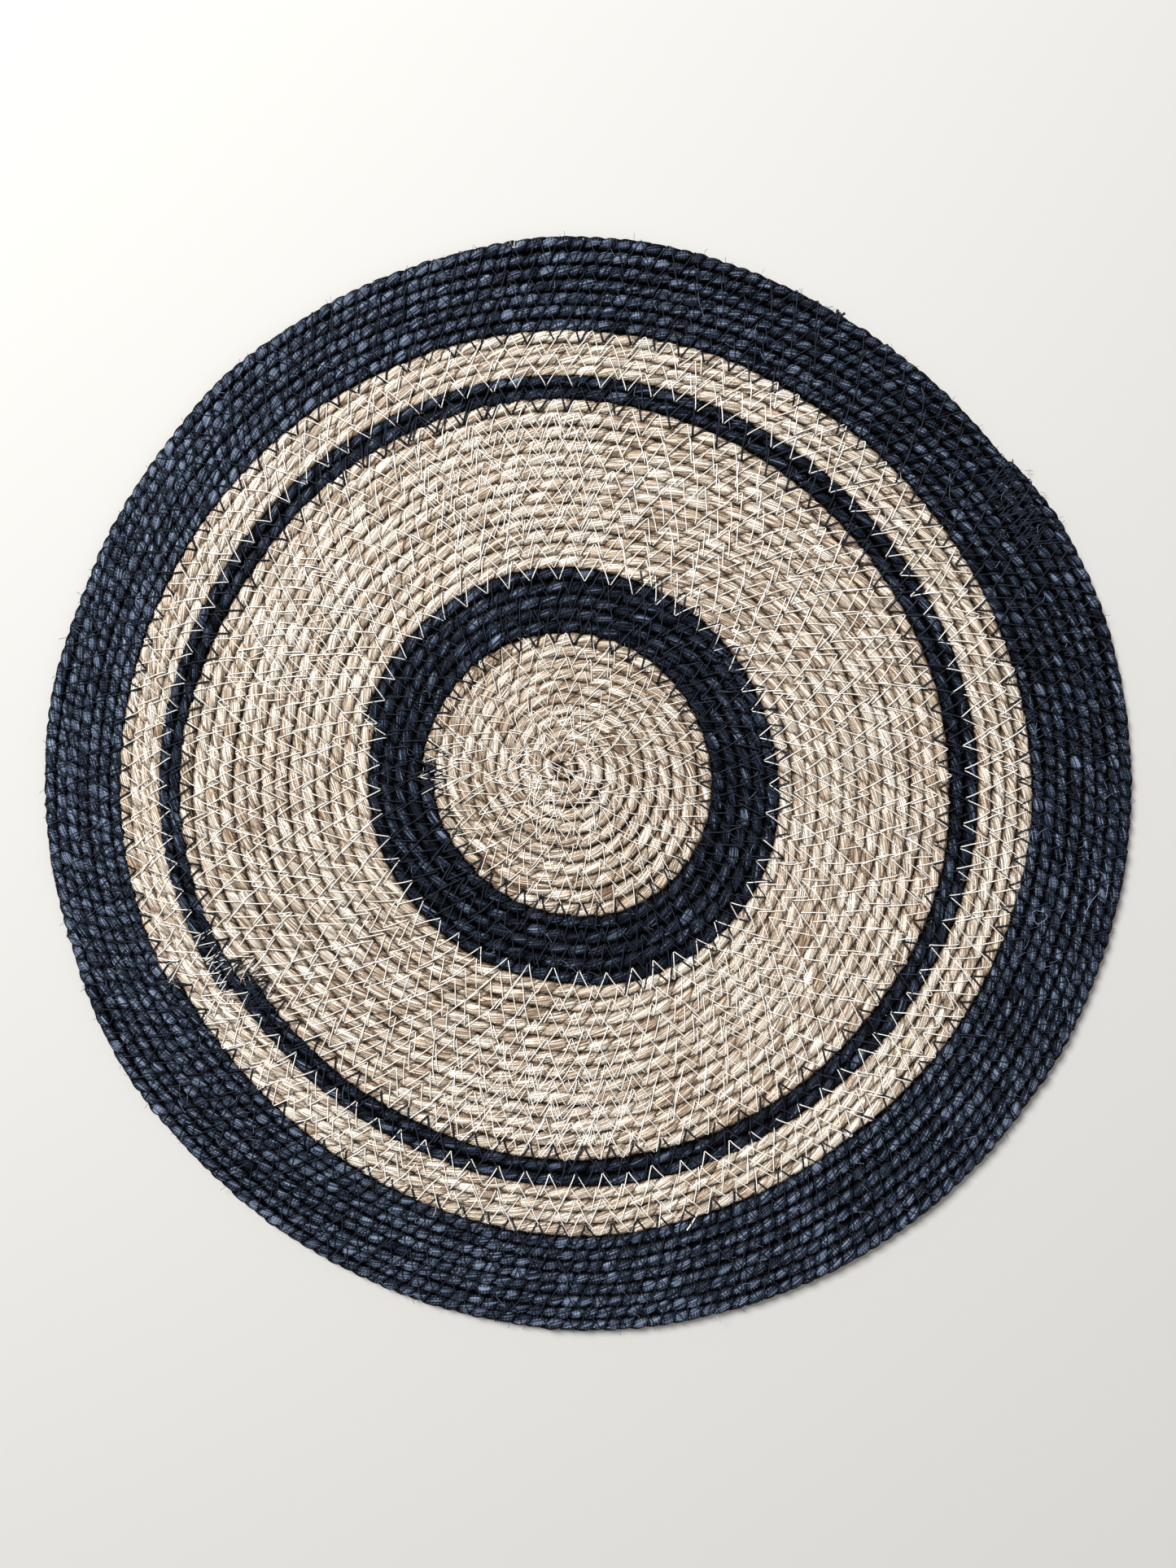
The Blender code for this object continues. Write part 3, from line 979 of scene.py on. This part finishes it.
class Graph:
    """A material's nodes, each added by one call."""

    def __init__(self, name, **constants):
        self.material = bpy.data.materials.new(name)
        self.material.use_nodes = True
        self.tree = self.material.node_tree
        self.shader = self.tree.nodes["Principled BSDF"]
        for socket, value in constants.items():
            self.finish(socket.replace("_", " "), value)

    def plug(self, target, value):
        """Links a socket to an input, or sets the input to a plain value."""
        if isinstance(value, Socket):
            self.tree.links.new(value.output, target)
        else:
            target.default_value = value

    def node(self, kind, settings, sockets, output=0):
        """Adds a node with its settings and inputs, and gives one output."""
        made = self.tree.nodes.new(kind)
        for name, value in settings.items():
            setattr(made, name, value)
        for name, value in sockets.items():
            self.plug(made.inputs[name], value)
        return Socket(self, made.outputs[output])

    def maths(self, operation, *operands):
        """A Math node on these values, in order."""
        return self.node("ShaderNodeMath", {"operation": operation}, dict(enumerate(operands)))

    def strand(self):
        """The places along and across the strand, in metres."""
        uv = self.node("ShaderNodeUVMap", {"uv_map": "strand"}, {})
        return [self.node("ShaderNodeSeparateXYZ", {}, {0: uv}, output) for output in (0, 1)]

    def value(self, attribute):
        """A value that the mesh carries."""
        return self.node("ShaderNodeAttribute", {"attribute_name": attribute}, {}, "Fac")

    def noise(self, streak, along, across, height):
        """Soft noise in this streak's sizes."""
        up = height * streak.upright + streak.start
        place = {0: along * streak.lengthwise, 1: across * streak.crosswise, 2: up}
        vector = self.node("ShaderNodeCombineXYZ", {}, place)
        sockets = {"Vector": vector, "Scale": 1.0, "Detail": streak.detail}
        sockets["Roughness"] = streak.roughness
        return self.node("ShaderNodeTexNoise", {"noise_dimensions": "3D"}, sockets)

    def ramp(self, value, stops):
        """A colour ramp with these (place, colour) stops."""
        made = self.node("ShaderNodeValToRGB", {}, {0: value})
        elements = made.output.node.color_ramp.elements
        for place, colour in stops[1:-1]:
            elements.new(place).color = (*colour, 1.0)
        for end in (0, -1):
            elements[end].position, colour = stops[end]
            elements[end].color = (*colour, 1.0)
        return made

    def blend(self, share, first, second, blend_type="MIX"):
        """A mix of two colours."""
        settings = {"data_type": "RGBA", "blend_type": blend_type}
        return self.node("ShaderNodeMix", settings, {0: share, 6: first, 7: second}, 2)

    def relief(self, height, depth, strength=1.0):
        """A bump from this height, in metres of depth."""
        sockets = {"Height": height, "Distance": depth, "Strength": strength}
        self.finish("Normal", self.node("ShaderNodeBump", {}, sockets))

    def finish(self, socket, value):
        """Sets one of the shader's own inputs."""
        self.plug(self.shader.inputs[socket], value)


def rope_finish(finish, colours):
    """Split seagrass leaf: fibres and dark splits along each ply, from brown to pale, with a painted
    highlight on each crest and painted shade in the grooves and seams.
    """
    shades, reach, surface = SHADES[finish], REACHES[finish], SURFACES[finish]
    graph = Graph(
        finish + "_rope", Roughness=surface.roughness, Specular_IOR_Level=surface.specular,
        Coat_Roughness=surface.coat_roughness,
    )
    place = (*graph.strand(), graph.value("height"))
    fibre, leaf, split, hairline, blush = [graph.noise(streak, *place) for streak in STREAKS]
    crack = 1.0 - abs(split - NOISE_MIDDLE).over(*SPLIT_EDGES)
    crack = crack + HAIRLINE_SHARE * (1.0 - abs(hairline - NOISE_MIDDLE).over(*HAIRLINE_EDGES))
    groove = graph.value("groove")
    seam = graph.value("seam")
    tone = graph.value("tone")
    # Each bead's crest is raised towards pale: a painted highlight
    crest = (1.0 - groove) * (1.0 - seam)
    level = reach.level + reach.crest * crest + reach.tone * tone
    level = level + reach.fibre * (fibre - NOISE_MIDDLE) + reach.leaf * (leaf - NOISE_MIDDLE)
    # Cleft and seam darken the colour: painted shade in the grooves and between turns
    cleft = groove.over(reach.groove, 1.0) * (reach.cleft + (1.0 - reach.cleft) * seam)
    marks = (
        (BLUSH_SHARE * blush.over(*BLUSH_EDGES), shades.tint),
        (CRACK_SHARE * crack.clamped(), shades.crack),
        (cleft, shades.groove),
        (seam.over(reach.seam, reach.dark_seam), shades.groove),
    )
    colour = graph.ramp(level.clamped(), list(zip(RAMPS[finish], colours)))
    for share, shade in marks:
        colour = graph.blend(share, colour, shade, "MULTIPLY")
    graph.finish("Base Color", colour)
    shine = ROPE_GLOSS.leaf_level + ROPE_GLOSS.leaf * (leaf - ROPE_GLOSS.leaf_middle)
    worn = (ROPE_GLOSS.level + ROPE_GLOSS.tone * tone).clamped()
    graph.finish("Coat Weight", surface.coat * worn * (crest * shine).clamped())
    raised = ROPE_RELIEF.fibre * fibre + ROPE_RELIEF.leaf * leaf - ROPE_RELIEF.crack * crack
    graph.relief(raised, ROPE_RELIEF.depth)
    return graph.material


def thread_finish(look, kind):
    """Two-ply thread, or a hair, a little uneven in colour from one to the next."""
    graph = Graph(
        kind.name, Roughness=kind.roughness, Specular_IOR_Level=kind.specular, Sheen_Weight=kind.sheen
    )
    pale = shaded(getattr(look, kind.pale), kind.lightness)
    dark = shaded(getattr(look, kind.dark), kind.darkness)
    along, across = graph.strand()
    # Paler on the twist's ridges and darker in its grooves: painted light and shade
    twist = (along * TWINE.along + across * TWINE.across).math("SINE")
    share = (TWINE.level + TWINE.tone * graph.value("tone") + TWINE.twist * twist).clamped()
    graph.finish("Base Color", graph.blend(share, dark, pale))
    graph.relief(twist, TWINE.depth, TWINE.bump)
    return graph.material


def length_setting(name, description, default):
    """A size that a user may change."""
    return FloatProperty(name=name, description=description, unit="LENGTH", default=default, min=MM / 10)


def colour_setting(name, description, *default):
    """A colour that a user may change."""
    return FloatVectorProperty(name=name, description=description, subtype="COLOR", default=default)


def power_setting(name, description, default):
    """A light's power that a user may change."""
    return FloatProperty(name=name, description=description, subtype="POWER", default=default)


class PlacematSettings(bpy.types.PropertyGroup):
    """The sizes and colours of the mat that a user would change."""

    rope_height: length_setting("Rope height", "Thickness of the rope in the mat", TOP)
    cream_width: length_setting("Cream thread width", "Thread on the natural rope", 0.42 * MM)
    dark_width: length_setting("Dark thread width", "Thread on the navy rope", 0.62 * MM)
    natural_pale: colour_setting("Natural, pale", "Outside of a dry seagrass leaf", 0.95, 0.90, 0.80)
    natural_mid: colour_setting("Natural, middle", "Usual colour of the rope", 0.67, 0.53, 0.39)
    natural_brown: colour_setting("Natural, brown", "Darkest leaf in the rope", 0.22, 0.135, 0.075)
    # The navy's pale colour is worn dye, and also the painted highlight that the crests are raised to
    navy_pale: colour_setting("Navy, worn", "Where the dye shows thin", 0.20, 0.255, 0.36)
    navy_mid: colour_setting("Navy, middle", "Usual colour of the navy rope", 0.022, 0.032, 0.056)
    navy_dark: colour_setting("Navy, dark", "Darkest leaf in the navy rope", 0.003, 0.004, 0.007)
    cream_thread: colour_setting("Cream thread", "Thread on the natural rope", 0.97, 0.93, 0.86)
    dark_thread: colour_setting("Dark thread", "Thread on the navy rope", 0.008, 0.010, 0.016)
    floor: colour_setting("Floor", "Colour of the plain floor", 0.52, 0.51, 0.49)
    key_power: power_setting("Key light", "Power of the main light", 82.0)
    fill_power: power_setting("Fill light", "Power of the light opposite it", 6.0)


def shaded(colour, share):
    """A colour made lighter or darker, with full cover."""
    return (*(share * part for part in colour), 1.0)


def all_lays(height):
    """How every length of rope lies, from the middle outwards."""
    return [Lay(index, height) for index in range(len(ROPES))]


def fasten(piece):
    """Puts a piece of rope, thread or fibre on the mat."""
    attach(piece, "root")


class PLACEMAT_OT_ropes(bpy.types.Operator):
    """Twist the six lengths of rope and lay them in place of their plain solids"""

    bl_idname = "placemat.ropes"
    bl_label = "Rope"

    def execute(self, context):
        look = context.scene.placemat
        natural = (look.natural_brown, look.natural_mid, look.natural_pale)
        navy = (look.navy_dark, look.navy_mid, look.navy_pale)
        finishes = {"natural": rope_finish("natural", natural), "navy": rope_finish("navy", navy)}
        for lay in all_lays(look.rope_height):
            piece = make_rope(lay, finishes[lay.rope.finish])
            fasten(piece)
            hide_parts(lay.rope.name)
        return {"FINISHED"}


class PLACEMAT_OT_sewing(bpy.types.Operator):
    """Sew every seam with a zigzag of cream or dark thread, and some stretches twice"""

    bl_idname = "placemat.sewing"
    bl_label = "Sewing"

    def execute(self, context):
        look = context.scene.placemat
        finishes = {finish: thread_finish(look, kind) for finish, kind in THREADS.items()}
        widths = {"natural": look.cream_width, "navy": look.dark_width}
        lays = all_lays(look.rope_height)
        for index, rope in enumerate(ROPES):
            piece = make_sewing(lays, index, widths[rope.finish], finishes[rope.finish])
            fasten(piece)
        for finish, material in finishes.items():
            fasten(make_resewing(lays, finish, widths[finish], material))
        fine = FINE_SHARE * look.cream_width
        fasten(make_middle_threads(fine, finishes["natural"]))
        return {"FINISHED"}


class PLACEMAT_OT_fibres(bpy.types.Operator):
    """Add the hairs and stray ends that come loose on the rope and at its rim"""

    bl_idname = "placemat.fibres"
    bl_label = "Loose fibres"

    def execute(self, context):
        look = context.scene.placemat
        lays = all_lays(look.rope_height)
        for finish, kind in FIBRES.items():
            fasten(make_fibres(lays, finish, thread_finish(look, kind)))
        return {"FINISHED"}


def area_light(lamp, power):
    """A square light at this lamp's place, turned to the middle of the mat."""
    light = bpy.data.lights.new(lamp.name, "AREA")
    light.energy = power
    light.size = lamp.width
    stand = bpy.data.objects.new(lamp.name, light)
    stand.location = lamp.place
    stand.rotation_euler = (-stand.location).to_track_quat("-Z", "Y").to_euler()
    bpy.context.scene.collection.objects.link(stand)


class PLACEMAT_OT_stage(bpy.types.Operator):
    """Set out the floor, the lights and the camera of the photo"""

    bl_idname = "placemat.stage"
    bl_label = "Floor, light and camera"

    floor_half: length_setting("Floor half width", "From its middle to an edge", 1.6)
    world_level: FloatProperty(name="Room light", description="Strength all round", default=0.28)

    def execute(self, context):
        look = context.scene.placemat
        scene = context.scene
        half = self.floor_half
        corners = [(-half, -half, 0), (half, -half, 0), (half, half, 0), (-half, half, 0)]
        mesh = bpy.data.meshes.new("floor")
        mesh.from_pydata(corners, [], [(0, 1, 2, 3)])
        graph = Graph("floor", Roughness=0.85, Base_Color=shaded(look.floor, 1.0))
        mesh.materials.append(graph.material)
        floor = bpy.data.objects.new("floor", mesh)
        floor.location.z = -FLOOR_DROP
        scene.collection.objects.link(floor)
        area_light(KEY_LAMP, look.key_power)
        area_light(FILL_LAMP, look.fill_power)
        world = bpy.data.worlds.new("room")
        world.use_nodes = True
        room = world.node_tree.nodes["Background"].inputs
        room["Color"].default_value = ROOM_TINT
        room["Strength"].default_value = self.world_level
        scene.world = world
        scene.view_settings.view_transform = "Standard"
        self.place_camera(scene)
        return {"FINISHED"}

    def place_camera(self, scene):
        """The photo looks straight down, with the mat's middle near its own."""
        camera = bpy.data.cameras.new("camera")
        camera.sensor_width = CAMERA_SENSOR
        camera.lens = CAMERA_LENS
        camera.clip_start = 10 * MM
        view = bpy.data.objects.new("camera", camera)
        view.location = CAMERA_PLACE
        scene.collection.objects.link(view)
        scene.camera = view


class PLACEMAT_PT_panel(bpy.types.Panel):
    """Lists the steps that dress the mat, and its settings"""

    bl_label = "Seagrass placemat"
    bl_idname = "PLACEMAT_PT_panel"
    bl_space_type = "VIEW_3D"
    bl_region_type = "UI"
    bl_category = "Placemat"

    def draw(self, context):
        column = self.layout.column()
        for step in STEPS:
            column.operator(step.bl_idname)
        for name in PlacematSettings.__annotations__:
            column.prop(context.scene.placemat, name)


STEPS = (PLACEMAT_OT_ropes, PLACEMAT_OT_sewing, PLACEMAT_OT_fibres, PLACEMAT_OT_stage)
CLASSES = (PlacematSettings, *STEPS, PLACEMAT_PT_panel)


def register():
    """Adds the classes, and the settings to the scene."""
    for made in CLASSES:
        bpy.utils.register_class(made)
    bpy.types.Scene.placemat = PointerProperty(type=PlacematSettings)


def unregister():
    """Takes the classes and settings out again."""
    del bpy.types.Scene.placemat
    for made in reversed(CLASSES):
        bpy.utils.unregister_class(made)


def main():
    register()
    bpy.ops.placemat.stage()
    bpy.ops.placemat.ropes()
    bpy.ops.placemat.sewing()
    bpy.ops.placemat.fibres()


if __name__ == "__main__":
    main()
